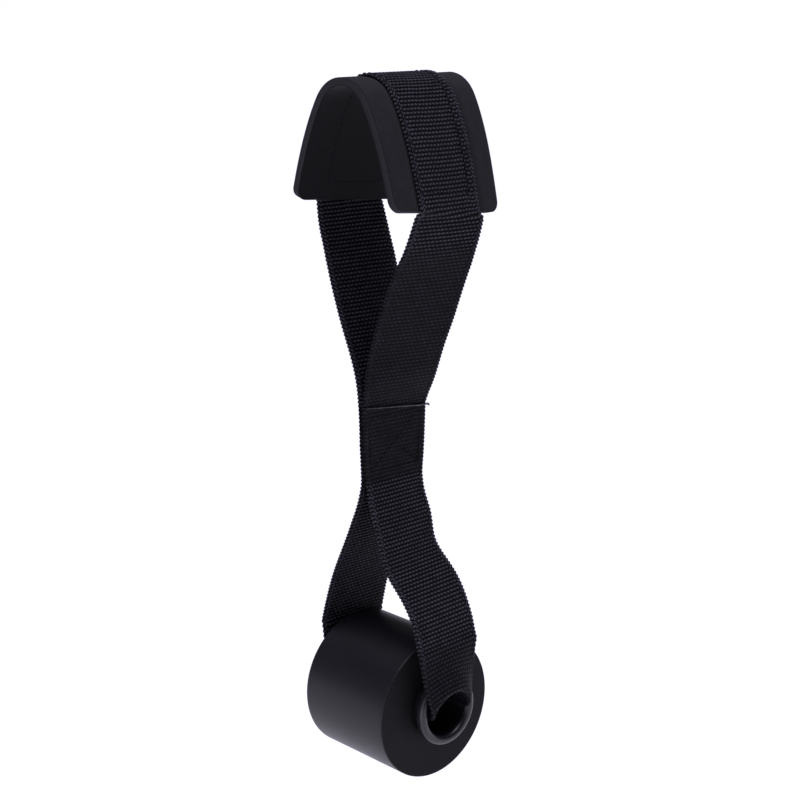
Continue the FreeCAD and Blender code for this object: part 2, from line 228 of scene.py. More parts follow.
# Melted bead: its pale upper stops, reached towards the right, are a painted highlight.
MELTED_AND_HIGHLIGHT_COLOURS = [(0.38, (0.008, 0.008, 0.01)), (0.62, (0.045, 0.045, 0.052)),
                  (0.85, (0.12, 0.12, 0.13))]
SKIN_COLOURS = [(0.3, (0.0052, 0.0052, 0.0074)), (0.7, (0.0068, 0.0067, 0.0096))]
PLASTIC_COLOURS = [(0.35, (0.0062, 0.006, 0.0084)), (0.75, (0.01, 0.0098, 0.013))]
THREAD_COLOURS = [(0.3, (0.003, 0.003, 0.0045)), (0.7, (0.008, 0.008, 0.011))]
JERSEY_OUTER = (0.0078, 0.0076, 0.0108)
JERSEY_LINING = (0.0028, 0.0027, 0.004)
NEOPRENE_CUT = (0.0085, 0.0085, 0.0105)
ROLLER_CUT = (0.0022, 0.0021, 0.0031)
FLOOR_COLOUR = (0.91, 0.91, 0.93, 1)
WORLD_COLOUR = (0.95, 0.93, 1.08, 1)

# How light each part of the weave is, as (what the pattern adds, what is always there). Crests, dots and
# cord loops are lighter as painted highlights, with painted shade in the grooves between them; the streaks
# and unevenness are the yarn's own tone.
CREST_SHARPNESS = 1.8
DOT_HIGHLIGHT = (0.55, 0.47)
ROPE_HIGHLIGHT = (0.85, 0.12)
STREAK_LIGHT = (0.6, 0.7)
UNEVEN_LIGHT = (0.7, 0.65)
FLAT_SHADE_LEVEL = 0.35  # even lightness of ribs that are pressed flat, dimmed as painted shade on the taut front strand and bent mouth
FLAT_MIX = 0.75  # how much of the pattern they lose
STREAKS = (9.0, 0.9)  # fine streaks across and along the strap, in a millimetre


# Curves
def spline(knots, per_span=24):
    """Natural cubic spline through rows of numbers, spaced by their first two columns."""
    knots = np.array(knots, float)
    chord = np.hypot(*np.diff(knots[:, :2], axis=0).T)
    count = len(knots)
    system = np.eye(count)
    known = np.zeros_like(knots)
    for i in range(1, count - 1):
        before, after = chord[i - 1], chord[i]
        system[i, i - 1:i + 2] = before, 2 * (before + after), after
        known[i] = 6 * ((knots[i + 1] - knots[i]) / after - (knots[i] - knots[i - 1]) / before)
    bend = np.linalg.solve(system, known)
    rows = []
    for i, length in enumerate(chord):
        for step in range(per_span):
            b = step / per_span
            a = 1 - b
            rows.append(a * knots[i] + b * knots[i + 1]
                        + ((a ** 3 - a) * bend[i] + (b ** 3 - b) * bend[i + 1]) * length ** 2 / 6)
    rows.append(knots[-1])
    return np.array(rows)


def bezier(poles, at):
    """Cubic Bezier. Poles and the result may be arrays of points, and at may be an array."""
    at = np.asarray(at, float)[..., None]
    rest = 1 - at
    a, b, c, d = poles
    return a * rest ** 3 + 3 * b * rest ** 2 * at + 3 * c * rest * at ** 2 + d * at ** 3


def unit(vectors):
    return vectors / np.linalg.norm(vectors, axis=-1)[..., None]


def lengths(rows):
    """Running length along rows of points."""
    steps = np.linalg.norm(np.diff(rows, axis=0), axis=-1)
    return np.concatenate([np.zeros((1,) + steps.shape[1:]), np.cumsum(steps, axis=0)])


def read_rows(rows, run, at):
    """Rows of numbers, known at the lengths in run, read at other lengths."""
    return np.stack([np.interp(at, run, column) for column in rows.T], axis=-1)


def read_columns(grid, run, at):
    """A grid whose columns are read at other lengths along each of them."""
    moved = np.empty(at.shape + (3,))
    for column in range(grid.shape[1]):
        moved[:, column] = read_rows(grid[:, column], run[:, column], at[:, column])
    return moved


def resample(route, step):
    """The route's rows at an even step, by length in the YZ plane."""
    run = lengths(route[:, :2])
    count = max(2, int(round(run[-1] / step)) + 1)
    return read_rows(route, run, np.linspace(0, run[-1], count))


def smooth(rows, sigma):
    """Rows averaged with their neighbours. The ends stay."""
    reach = int(3 * sigma)
    weights = np.exp(-0.5 * (np.arange(-reach, reach + 1) / sigma) ** 2)
    weights /= weights.sum()
    mirrored = np.concatenate([2 * rows[:1] - rows[reach:0:-1], rows,
                               2 * rows[-1:] - rows[-2:-reach - 2:-1]])
    return np.stack([np.convolve(column, weights, "valid") for column in mirrored.T], axis=1)


def smoothstep(low, high, value):
    t = np.clip((np.asarray(value, float) - low) / (high - low), 0, 1)
    return t * t * (3 - 2 * t)


def ripple(a, b, seed, waves=5):
    """Slow, smooth unevenness between -1 and 1, made of a few waves."""
    draw = np.random.default_rng(seed)
    total = 0
    for _ in range(waves):
        fa, fb, phase = draw.uniform(-1, 1), draw.uniform(-1, 1), draw.uniform(0, FULL_TURN)
        total = total + np.sin(a * fa + b * fb + phase)
    return total / waves


def near_seams(x, spread):
    """1 on the pad's two long rows of stitches, fading to both sides."""
    return sum(np.exp(-0.5 * ((x - side) / spread) ** 2) for side in SEAM_SIDES)


# Pad and saddle route
def leaning(side):
    """Outward normal of a foot, and the direction up its leg."""
    lean = math.radians(PAD_LEAN)
    normal = np.array([side * math.cos(lean), -math.sin(lean)])
    up = np.array([-side * math.sin(lean), math.cos(lean)])
    return normal, up


def leg_line(side):
    """The pad's inner face from below its foot up to where it meets the bar."""
    hug = math.radians(HUG_ANGLE)
    foot = np.array(PAD_FOOT[side])
    top = BAR_RADIUS * np.array([side * math.sin(hug), math.cos(hug)])
    reach = np.linalg.norm(top - foot) / 3
    up = leaning(side)[1]
    arrive = np.array([-side * math.cos(hug), math.sin(hug)])
    leg = bezier([foot, foot + up * reach, top - arrive * reach, top], np.linspace(0, 1, 60))
    return np.concatenate([[foot - up * FOOT_PAST], leg])


def saddle_line():
    """Rows (y, z) over the bar on the pad's inner face, and each row's length from the front foot."""
    angle = np.radians(np.linspace(-HUG_ANGLE, HUG_ANGLE, 60))[1:-1]
    arc = BAR_RADIUS * np.stack([np.sin(angle), np.cos(angle)], axis=1)
    line = np.concatenate([leg_line(-1), arc, leg_line(1)[::-1]])
    line = smooth(resample(line, SADDLE_STEP), sigma=6)
    return line, lengths(line) - FOOT_PAST


SADDLE, SADDLE_RUN = saddle_line()
SADDLE_LENGTH = SADDLE_RUN[-1] - FOOT_PAST


def foot_run(side, x):
    """Where the pad ends, in length from the front foot, at a place x across it."""
    left, right = FOOT_RISE[side]
    rise = left + (right - left) * (x / PAD_HALF + 1) / 2
    return rise if side < 0 else SADDLE_LENGTH - rise


def saddle_route(distance, run):
    """Rows (y, z, yaw, x) at a distance from the pad's inner face, at these lengths along it."""
    line = read_rows(SADDLE, SADDLE_RUN, run)
    ahead = read_rows(SADDLE, SADDLE_RUN, run + SADDLE_STEP)
    behind = read_rows(SADDLE, SADDLE_RUN, run - SADDLE_STEP)
    along = unit(ahead - behind)
    line = line + distance * np.stack([-along[..., 1], along[..., 0]], axis=-1)
    share = 2 * run / SADDLE_LENGTH - 1
    yaw, x = [at_top + change * share for at_top, change in (PAD_YAW, PAD_X)]
    return np.stack([line[..., 0], line[..., 1], yaw, x], axis=-1)


def foot_arc(side, start):
    """The webbing's bend under a pad foot, from the foot down."""
    normal, up = leaning(side)
    radius = FOOT_BEND + WEB_THICK / 2
    centre = start[:2] - normal * radius
    share = np.linspace(0, 1, 12)[1:]
    turn = np.radians(share * FOOT_TURN[side])[:, None]
    line = centre + radius * (normal * np.cos(turn) - up * np.sin(turn))
    yaw = start[2] + (FOOT_YAW[side] - start[2]) * share
    return np.column_stack([line, yaw, np.full(len(line), start[3])])


# Strap surfaces
def width_grid(route, across):
    """Points of a strip: each row (y, z, yaw, x) of the route spread along its width direction."""
    yaw = np.radians(route[..., 2])
    x = route[..., 3] + across * np.cos(yaw)
    y = route[..., 0] + across * np.sin(yaw)
    return np.stack([x, y, route[..., 1] + 0 * across], axis=-1)


def normals_of(grid, side=1):
    """Unit normals. Side 1 is outward where the rows run up the front, over and down the back."""
    return unit(side * np.cross(np.gradient(grid, axis=1), np.gradient(grid, axis=0)))


def edge_columns(count):
    """Places across the strap from -1 to 1, closer together at its edges."""
    even = np.linspace(-EVEN_COLUMNS_TO, EVEN_COLUMNS_TO, count)
    return np.concatenate([-EDGE_COLUMNS[::-1], even, EDGE_COLUMNS])


def drawn_in(z):
    """Share of the strap's width that is left at a height."""
    heights, shares = zip(*NARROWING)
    return 1 - np.interp(z, heights, shares)


def upper_column(u):
    """Route of one warp line of the upper strip, from the waist's front over the pad to its back."""
    x = WEB_ON_PAD + u * WEB_HALF
    run = np.arange(foot_run(-1, x), foot_run(1, x), 0.5)
    saddle = saddle_route(PAD_THICK + WEB_THICK / 2, run)
    saddle[:, 3] += WEB_ON_PAD
    front = foot_arc(-1, saddle[0])[::-1]
    back = foot_arc(1, saddle[-1])
    low = spline(UPPER_FRONT + [tuple(front[0])])
    high = spline([tuple(back[-1])] + UPPER_BACK)
    route = np.concatenate([low[:-1], front, saddle, back[:-1], high])
    return smooth(resample(route, ROW_STEP), sigma=2.0)


def halves(route, counts=None):
    """The route's rows at an even step in two parts, below and past its highest point."""
    run = lengths(route[:, :2])
    top = run[np.argmax(route[:, 1])]
    counts = counts or [int(round(part / ROW_STEP)) for part in (top, run[-1] - top)]
    up = np.linspace(0, top, counts[0] + 1)[:-1]
    down = np.linspace(top, run[-1], counts[1] + 1)
    return read_rows(route, run, np.concatenate([up, down])), counts


def upper_surface(across):
    """Grid of the upper strip, and each point's length along it."""
    middle, counts = halves(upper_column(0.0))
    routes = np.stack([halves(upper_column(u), counts)[0] for u in across], axis=1)
    grid = width_grid(routes, across * WEB_HALF * drawn_in(routes[..., 1]))
    return grid, np.arange(len(middle))[:, None] * ROW_STEP + 0 * across


def mouth_grid(side, across):
    """The strap from its flat part in front of the flange to the arch inside the bore."""
    angle = across * CURL / 2
    yaw = math.radians(MOUTH_YAW[side])
    edge = across ** 2
    start = np.stack([across * WEB_HALF * math.cos(yaw),
                      MOUTH_Y[side] + across * WEB_HALF * math.sin(yaw),
                      np.full_like(across, MOUTH_TOP)], axis=-1)
    end = np.stack([BORE_MID * np.sin(angle), np.full_like(across, FLANGE_BACK[side]),
                    CORE_Z + BORE_MID * np.cos(angle)], axis=-1)
    drop = MOUTH_FALL[side] * (start[:, 2] - end[:, 2])
    swing = MOUTH_SWING[side][0] + MOUTH_SWING[side][1] * edge
    bulge = MOUTH_BULGE[side][0] + MOUTH_BULGE[side][1] * edge
    gather = -MOUTH_GATHER[side] * WEB_HALF * across * edge
    low = start + np.stack([gather, side * swing, -drop], axis=-1)
    near = end + np.stack([GATHER_LEFT * gather, side * bulge, -MOUTH_DROOP[side] * (1 - edge)], axis=-1)
    at = np.linspace(0, 1, 60)[:, None] * np.ones(len(across))
    return bezier([start, low, near, end], at)


def strand_grid(knots, across):
    route = smooth(resample(spline(knots), step=0.5), sigma=3)
    route = np.repeat(route[:, None], len(across), axis=1)
    return width_grid(route, across * WEB_HALF * drawn_in(route[..., 1]))


def even_rows(grid):
    """The grid with its rows moved to an even step along every column."""
    run = lengths(grid)
    middle = run[-1, grid.shape[1] // 2]
    count = max(2, int(round(middle / ROW_STEP)) + 1)
    return read_columns(grid, run, np.linspace(0, 1, count)[:, None] * run[-1])


def cut_height(across):
    left, right = CUT_ENDS
    return left + (right - left) * (across + 1) / 2


def lower_surface(across):
    """Grid and lengths of the lower strip, from its cut end through the core to the waist's back."""
    front = strand_grid(LOWER_FRONT + [(MOUTH_Y[-1], MOUTH_TOP, MOUTH_YAW[-1], 0)], across)
    back = strand_grid([(MOUTH_Y[1], MOUTH_TOP, MOUTH_YAW[1], 0)] + LOWER_BACK, across)
    mouth, rear_mouth = mouth_grid(-1, across), mouth_grid(1, across)[::-1]
    bore = np.stack([mouth[-1], rear_mouth[0]])
    parts = [even_rows(part) for part in (front, mouth, bore, rear_mouth, back)]
    grid = np.concatenate([parts[0]] + [part[1:] for part in parts[1:]])
    run = np.arange(len(grid))[:, None] * ROW_STEP + 0 * across
    to_cut = LOWER_FRONT[0][1] - cut_height(across)
    cut_run = run + to_cut * np.clip(1 - run / CUT_FADE, 0, None)
    return read_columns(grid, run, cut_run), cut_run


# Ribs and dots
def flatness_and_shade(base):
    """How flat the ribs are, from 0 to 1: sewn in the waist, taut in front above it, bent at the bore. The
    same share dims their colour, a painted shade on the taut front strand and at the bent mouth.
    """
    y, z = base[..., 1], base[..., 2]
    sewn, taut = [share * smoothstep(*begins, z) * (1 - smoothstep(*ends, z))
                  for share, begins, ends in (SEWN_FLAT, TAUT_FLAT_AND_SHADE)]
    bent = BENT_FLAT_AND_SHADE[0] * (1 - smoothstep(*BENT_FLAT_AND_SHADE[1], z))
    return np.maximum(np.maximum(sewn, taut * (y < TAUT_Y)), bent * (y < 0))


def rib_profile(run):
    """0 in the groove between two ribs and 1 on the crest."""
    return np.abs(np.sin(math.pi * run / RIB_PITCH)) ** RIB_SHARPNESS


def seam_shift(base, x):
    """The sewn rows on the pad drag the ribs along a little on their outer side."""
    left, right = [smoothstep(side - SEAM_DRAG_WIDTH, side + SEAM_DRAG_WIDTH, x) for side in SEAM_SIDES]
    return SEAM_DRAG * RIB_PITCH * (right + 1 - left) * smoothstep(*DRAG_TOP, base[..., 2])


def web_height(base, run, x, face):
    """Half thickness of the strap: ribs across it, broken into dots on the outer face."""
    row = np.floor(run / RIB_PITCH)
    dots = 0.5 + 0.5 * np.cos(FULL_TURN * (x / DOT_PITCH + row / 2))
    dots = np.where(face > 0, dots, DOTS_INSIDE)
    dots = dots + (1 - dots) * smoothstep(*DOTS_END, np.abs(x) / WEB_HALF)
    flat = flatness_and_shade(base)
    ribs = RIB_HEIGHT * (1 - FLAT_RIBS * flat) * rib_profile(run) * (1 - DOT_RISE + DOT_RISE * dots)
    edge = np.abs(x)
    loops = 0.5 - 0.5 * np.cos(FULL_TURN * (run / RIB_PITCH + ROPE_SLANT * edge))
    rope = RIB_HEIGHT * (ROPE_RISE[0] + ROPE_RISE[1] * loops) * (1 - FLAT_ROPE * flat)
    on_rope = 1 - smoothstep(*ROPE_FADE, np.abs(edge - ROPE_X))
    depth, spread = SEAM_GROOVE
    seam = near_seams(x, spread) * smoothstep(*GROOVE_TOP, base[..., 2])
    return CORE_HALF + (ribs + on_rope * (rope - ribs)) * (1 - depth * seam)


# Mesh making
def link_new(name, data):
    obj = bpy.data.objects.new(name, data)
    bpy.context.scene.collection.objects.link(obj)
    return obj


def make_object(name, points, faces, material, uv=None, closed=True):
    """A mesh object from points in millimetres. uv holds one pair per point."""
    mesh = bpy.data.meshes.new(name)
    mesh.from_pydata((np.asarray(points) * MM).tolist(), [], faces)
    if uv is not None:
        layer = mesh.uv_layers.new(name="Weave")
        corner = np.zeros(len(mesh.loops), np.int32)
        mesh.loops.foreach_get("vertex_index", corner)
        layer.data.foreach_set("uv", np.asarray(uv, np.float32)[corner].ravel())
    if closed:
        shell = bmesh.new()
        shell.from_mesh(mesh)
        bmesh.ops.recalc_face_normals(shell, faces=shell.faces)
        shell.to_mesh(mesh)
        shell.free()
    mesh.polygons.foreach_set("use_smooth", np.full(len(mesh.polygons), True))
    mesh.materials.append(material)
    mesh.update()
    return link_new(name, mesh)


def ring_faces(before, after):
    """Quads between rings of points and the rings that follow them."""
    quads = np.stack([before, np.roll(before, -1, -1), np.roll(after, -1, -1), after], axis=-1)
    return quads.reshape(-1, 4).tolist()


def capped_faces(rows, ring):
    """Faces of a tube with this many rows, each a ring of points, and of its two end caps."""
    rings = np.arange(rows * ring).reshape(rows, ring)
    return ring_faces(rings[:-1], rings[1:]) + [rings[0, ::-1].tolist(), rings[-1].tolist()]


def strap(name, surface_of, side, material):
    """Webbing along a surface, with ribs on both faces and warp dots on the outer one."""
    outer, inner = edge_columns(OUTER_COLUMNS), edge_columns(INNER_COLUMNS)[1:-1][::-1]
    across = np.concatenate([outer, inner])
    face = np.concatenate([np.ones(len(outer)), -np.ones(len(inner))])
    places = np.unique(across)
    order = np.searchsorted(places, across)
    base, run = surface_of(places)
    beside = unit(np.gradient(base, axis=1))[:, order]
    normal = normals_of(base, side)[:, order]
    base, run = base[:, order], run[:, order]
    x = across * WEB_HALF
    run = run + seam_shift(base, x)
    rounding = (1 - np.abs(across) ** EDGE_SQUARENESS) ** 0.5
    offset = face * web_height(base, run, x, face) * rounding
    at_edge = smoothstep(SCALLOP_FROM, 1.0, np.abs(across)) * np.sign(across)
    scallop = at_edge * (rib_profile(run) - SCALLOP_MIDDLE) * SCALLOP
    points = base + normal * offset[..., None] + beside * scallop[..., None]
    uv = np.stack(np.broadcast_arrays(x, run), axis=-1)
    faces = capped_faces(len(base), len(across))
    piece = make_object(name, points.reshape(-1, 3), faces, material, uv.reshape(-1, 2))
    # The flatness, stored for the material, also dims the weave there as painted shade.
    flat = piece.data.attributes.new("flatness_and_shade", "FLOAT", "POINT")
    flat.data.foreach_set("value", flatness_and_shade(base).ravel().astype(np.float32))
    return piece


# Material nodes
def new_material(name):
    """A material, its node tree and shader, and the object coordinates in that tree."""
    material = bpy.data.materials.new(name)
    material.use_nodes = True
    tree = material.node_tree
    return material, tree, tree.nodes["Principled BSDF"], add(tree, "TexCoord").outputs["Object"]


def feed(tree, value, socket):
    """A number or colour is set on the socket itself. Anything else is linked to it."""
    if isinstance(value, (int, float, tuple)):
        socket.default_value = value
    else:
        tree.links.new(value, socket)


def fill(tree, node, values):
    """Feeds a node's inputs by their names."""
    for key, value in values.items():
        feed(tree, value, node.inputs[key])
    return node


def add(tree, kind, values={}, **settings):
    """A new node with its inputs and settings."""
    node = tree.nodes.new("ShaderNode" + kind)
    for key, value in settings.items():
        setattr(node, key, value)
    return fill(tree, node, values)


def maths(tree, operation, *values):
    node = add(tree, "Math", operation=operation)
    for socket, value in zip(node.inputs, values):
        feed(tree, value, socket)
    return node.outputs[0]


def noise(tree, vector, scale, detail=2.0, roughness=0.5):
    values = {"Vector": vector, "Scale": scale, "Detail": detail, "Roughness": roughness}
    return add(tree, "TexNoise", values).outputs["Fac"]


def ramp(tree, value, stops):
    """Colour ramp. Stops are (place, colour)."""
    node = add(tree, "ValToRGB", {"Fac": value})
    elements = node.color_ramp.elements
    while len(elements) < len(stops):
        elements.new(0.5)
    for element, (place, colour) in zip(elements, stops):
        element.position = place
        element.color = (*colour, 1)
    return node.outputs[0]


def map_range(tree, value, given, wanted, kind="LINEAR"):
    """A value between the given pair of numbers, turned into one between the wanted pair."""
    values = zip(("Value", "From Min", "From Max", "To Min", "To Max"), (value, *given, *wanted))
    return add(tree, "MapRange", dict(values), interpolation_type=kind).outputs[0]


def split(tree, vector):
    """The x and y of a vector."""
    return add(tree, "SeparateXYZ", {"Vector": vector}).outputs[:2]


def surface(tree, shader, colour, relief, roughness, specular):
    """Colour, bump, roughness and gloss of a shader. The relief is (height, metres, strength)."""
    height, distance, strength = relief
    bump = add(tree, "Bump", {"Height": height, "Distance": distance, "Strength": strength})
    fill(tree, shader, {"Base Color": colour, "Normal": bump.outputs["Normal"], "Roughness": roughness,
                        "Specular IOR Level": specular})


def shades(tone, *stops):
    """Stops of a ramp from (place, share of the tone)."""
    return [(place, tuple(share * part for part in tone)) for place, share in stops]


# Materials
def weave_pattern(tree, x, ribs):
    """The crests of the ribs and the dots along them, each from 0 to 1. As colour they make painted
    highlights on crests and dots, and painted shade in the grooves.
    """
    crest = maths(tree, "ABSOLUTE", maths(tree, "SINE", maths(tree, "MULTIPLY", ribs, math.pi)))
    crest = maths(tree, "POWER", crest, CREST_SHARPNESS)
    odd = maths(tree, "MODULO", maths(tree, "FLOOR", ribs), 2.0)
    phase = maths(tree, "ADD", maths(tree, "DIVIDE", x, DOT_PITCH), maths(tree, "MULTIPLY", odd, 0.5))
    wave = maths(tree, "COSINE", maths(tree, "MULTIPLY", phase, FULL_TURN))
    return crest, maths(tree, "MULTIPLY_ADD", wave, 0.5, 0.5)


def with_rope(tree, level, x, ribs):
    """The lightness with the twisted cord along both selvedges laid over it: painted highlights on its loops
    and painted shade between them.
    """
    edge = maths(tree, "ABSOLUTE", x)
    turns = maths(tree, "MULTIPLY_ADD", edge, ROPE_SLANT, ribs)
    wave = maths(tree, "COSINE", maths(tree, "MULTIPLY", turns, FULL_TURN))
    loops = maths(tree, "MULTIPLY_ADD", wave, -0.5, 0.5)
    away = maths(tree, "ABSOLUTE", maths(tree, "SUBTRACT", edge, ROPE_X))
    on_rope = map_range(tree, away, ROPE_FADE, (1.0, 0.0), "SMOOTHSTEP")
    lift = maths(tree, "SUBTRACT", maths(tree, "MULTIPLY_ADD", loops, *ROPE_HIGHLIGHT), level)
    return maths(tree, "MULTIPLY_ADD", on_rope, lift, level)


def with_flat_ribs_and_shade(tree, level):
    """The lightness evened out and dimmed where the ribs are pressed flat: painted shade on the taut front
    strand and at the bent mouth.
    """
    flat = add(tree, "Attribute", attribute_name="flatness_and_shade").outputs["Fac"]
    change = maths(tree, "SUBTRACT", maths(tree, "MULTIPLY", flat, FLAT_SHADE_LEVEL), level)
    return maths(tree, "MULTIPLY_ADD", maths(tree, "MULTIPLY", flat, FLAT_MIX), change, level)


def webbing_material():
    """Ribs, dots and selvedge cord, placed by the lengths across and along the strap. Their crests, dots and
    cord loops are painted highlights and the grooves painted shade; streaks and unevenness are the yarn's
    own tone.
    """
    material, tree, shader, place = new_material("ribbed_webbing")
    x, run = split(tree, add(tree, "UVMap", uv_map="Weave").outputs[0])
    ribs = maths(tree, "DIVIDE", run, RIB_PITCH)
    crest, dot = weave_pattern(tree, x, ribs)
    across, along = [maths(tree, "MULTIPLY", length, scale) for length, scale in zip((x, run), STREAKS)]
    stretch = add(tree, "CombineXYZ", {"X": across, "Y": along})
    filament = noise(tree, stretch.outputs[0], scale=1.0, detail=3.0)
    uneven = noise(tree, place, scale=260.0)
    level = maths(tree, "MULTIPLY", crest, maths(tree, "MULTIPLY_ADD", dot, *DOT_HIGHLIGHT))
    level = with_flat_ribs_and_shade(tree, with_rope(tree, level, x, ribs))
    for pattern, light in ((filament, STREAK_LIGHT), (uneven, UNEVEN_LIGHT)):
        level = maths(tree, "MULTIPLY", level, maths(tree, "MULTIPLY_ADD", pattern, *light))
    height = maths(tree, "MULTIPLY_ADD", filament, 0.35, maths(tree, "MULTIPLY", dot, crest))
    colour = ramp(tree, level, WEB_COLOURS)
    surface(tree, shader, colour, (height, 0.00018, 0.8), roughness=0.6, specular=0.08)
    return material


def jersey_material(name, tone):
    """Fine knit with a soft sheen."""
    material, tree, shader, place = new_material(name)
    grain = noise(tree, place, scale=1500.0, detail=3.0, roughness=0.7)
    blotch = noise(tree, place, scale=220.0, detail=3.0)
    level = maths(tree, "MULTIPLY_ADD", grain, 0.70, maths(tree, "MULTIPLY", blotch, 0.30))
    colour = ramp(tree, level, shades(tone, (0.3, 0.35), (0.7, 1.65)))
    surface(tree, shader, colour, (grain, 0.00012, 0.7), roughness=0.85, specular=0.15)
    fill(tree, shader, {"Sheen Weight": 0.06, "Sheen Roughness": 0.5})
    return material


def cell_foam_material(name, tone, cell_scale, roughness, depth):
    """Cut closed-cell foam: small pits of uneven size, darker in their middles as painted shade in the pits.
    """
    material, tree, shader, place = new_material(name)
    cells = add(tree, "TexVoronoi", {"Vector": place, "Scale": cell_scale})
    fine = noise(tree, place, cell_scale * 0.6, detail=4.0, roughness=0.65)
    level = maths(tree, "MULTIPLY_ADD", cells.outputs["Distance"], 0.5, maths(tree, "MULTIPLY", fine, 0.6))
    # Darker at each pit's middle: painted shade in the pits.
    colour = ramp(tree, level, shades(tone, (0.2, 0.3), (0.8, 1.9)))
    surface(tree, shader, colour, (level, depth, 0.8), roughness, specular=0.25)
    return material


def skin_foam_material():
    """The roller's smooth moulded skin, with faint mottling and fine grain."""
    material, tree, shader, place = new_material("roller_skin")
    mottle = noise(tree, place, scale=55.0, detail=3.0)
    grain = noise(tree, place, scale=1500.0, detail=3.0, roughness=0.6)
    rough = map_range(tree, mottle, (0.0, 1.0), (0.36, 0.44))
    surface(tree, shader, ramp(tree, mottle, SKIN_COLOURS), (grain, 0.00005, 0.5), rough, specular=0.24)
    return material


def plastic_material():
    """Moulded plastic, lightly scuffed."""
    material, tree, shader, place = new_material("core_plastic_black")
    grain = noise(tree, place, scale=2200.0)
    scuff = noise(tree, place, scale=240.0, detail=4.0, roughness=0.7)
    rough = map_range(tree, scuff, (0.0, 1.0), (0.26, 0.40))
    surface(tree, shader, ramp(tree, scuff, PLASTIC_COLOURS), (grain, 0.00002, 0.4), rough, specular=0.5)
    return material


def melted_material():
    """Heat-sealed polyester, with pale scorched specks, and lighter towards the right: a painted highlight
    where the bead catches the light.
    """
    material, tree, shader, place = new_material("melted_edge")
    specks = noise(tree, place, scale=900.0, detail=4.0, roughness=0.65)
    # Lighter towards +x, the bead's right end: a painted highlight where it catches the light.
    level = maths(tree, "MULTIPLY_ADD", split(tree, place)[0], 13.0, specks)
    colour = ramp(tree, level, MELTED_AND_HIGHLIGHT_COLOURS)
    surface(tree, shader, colour, (specks, 0.0001, 0.7), roughness=0.42, specular=0.5)
    return material


def thread_material():
    material, tree, shader, place = new_material("sewing_thread")
    twist = noise(tree, place, scale=4200.0)
    colour = ramp(tree, twist, THREAD_COLOURS)
    surface(tree, shader, colour, (twist, 0.00008, 0.6), roughness=0.7, specular=0.1)
    return material


# Webbing
webbing = webbing_material()
upper = strap("webbing_upper", upper_surface, 1, webbing)
lower = strap("webbing_lower", lower_surface, -1, webbing)
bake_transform(upper)
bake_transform(lower)
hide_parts("webbing_upper_loop", "waist_hidden_end")
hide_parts("webbing_lower_loop", "waist_lapped_end", "waist_back_layer")


# Pad
def pad_grid(rows=190, columns=96, corner_rows=9):
    """Inner face of the pad, its outward normals, and each point's x and length from the front foot."""
    middle = foot_run(1, 0.0) - foot_run(-1, 0.0)
    bend = (1 - np.cos(np.linspace(0, math.pi / 2, corner_rows))) * PAD_CORNER
    even = np.linspace(PAD_CORNER, middle - PAD_CORNER, rows)
    at = np.concatenate([bend[:-1], even, middle - bend[:-1][::-1]])
    into_corner = np.clip(PAD_CORNER - np.minimum(at, middle - at), 0, None)
    inset = PAD_CORNER - np.sqrt(np.clip(PAD_CORNER ** 2 - into_corner ** 2, 0, None))
    x = np.linspace(-1, 1, columns)[None, :] * (PAD_HALF - inset)[:, None]
    share = (at / middle)[:, None]
    run = foot_run(-1, x) * (1 - share) + foot_run(1, x) * share
    face = width_grid(saddle_route(0.0, run), x)
    return face, normals_of(face), x, run


def slab(name, layers, material):
    """Closed solid from a stack of grids: the first and last are faces, the rest only shape the rim."""
    rows, columns = layers[0].shape[:2]
    index = np.arange(rows * columns).reshape(rows, columns)
    rim = np.concatenate([index[0, :], index[1:, -1], index[-1, -2::-1], index[-2:0:-1, 0]])
    quads = np.stack([index[:-1, :-1], index[:-1, 1:], index[1:, 1:], index[1:, :-1]], axis=-1)
    quads = quads.reshape(-1, 4)
    points = [layers[0].reshape(-1, 3)]
    faces = quads[:, ::-1].tolist()
    before, base = rim, rows * columns
    for layer in layers[1:-1]:
        points.append(layer.reshape(-1, 3)[rim])
        after = base + np.arange(len(rim))
        faces += ring_faces(before, after)
        before, base = after, base + len(rim)
    points.append(layers[-1].reshape(-1, 3))
    faces += ring_faces(before, base + rim)
    faces += (quads + base).tolist()
    return make_object(name, np.concatenate(points), faces, material)


pad_face, pad_outward, pad_x, pad_run = pad_grid()


def pad_height(share):
    """Distance from the inner face, with the pad drawn in under the webbing and along its seams."""
    x = pad_x - WEB_ON_PAD
    held, free = WEB_SHADOW
    under = 1 - smoothstep(WEB_HALF + held, WEB_HALF + free, np.abs(x))
    soft = PAD_UNEVEN * ripple(pad_x / 7, pad_run / 7, seed=3)
    swell = MARGIN_SWELL * (1 - under) - UNDER_WEB * under \
        - UNDER_SEAM * near_seams(x, SEAM_SPREAD) * under + soft
    return share * (PAD_THICK + swell)


def pad_layer(low, high, bulge=0.0):
    """Grids of one layer between two shares of the pad's thickness."""
    spread = np.sign(pad_x) * smoothstep(PAD_HALF - 1.5, PAD_HALF, np.abs(pad_x))
    beside = unit(np.gradient(pad_face, axis=1))
    stack = []
    for share, out in ((0.0, 0.0), (RIM_SHARES[0], bulge), (RIM_SHARES[1], bulge), (1.0, 0.0)):
        height = pad_height(low + share * (high - low))
        stack.append(pad_face + pad_outward * height[..., None] + beside * (spread * out)[..., None])
    return stack


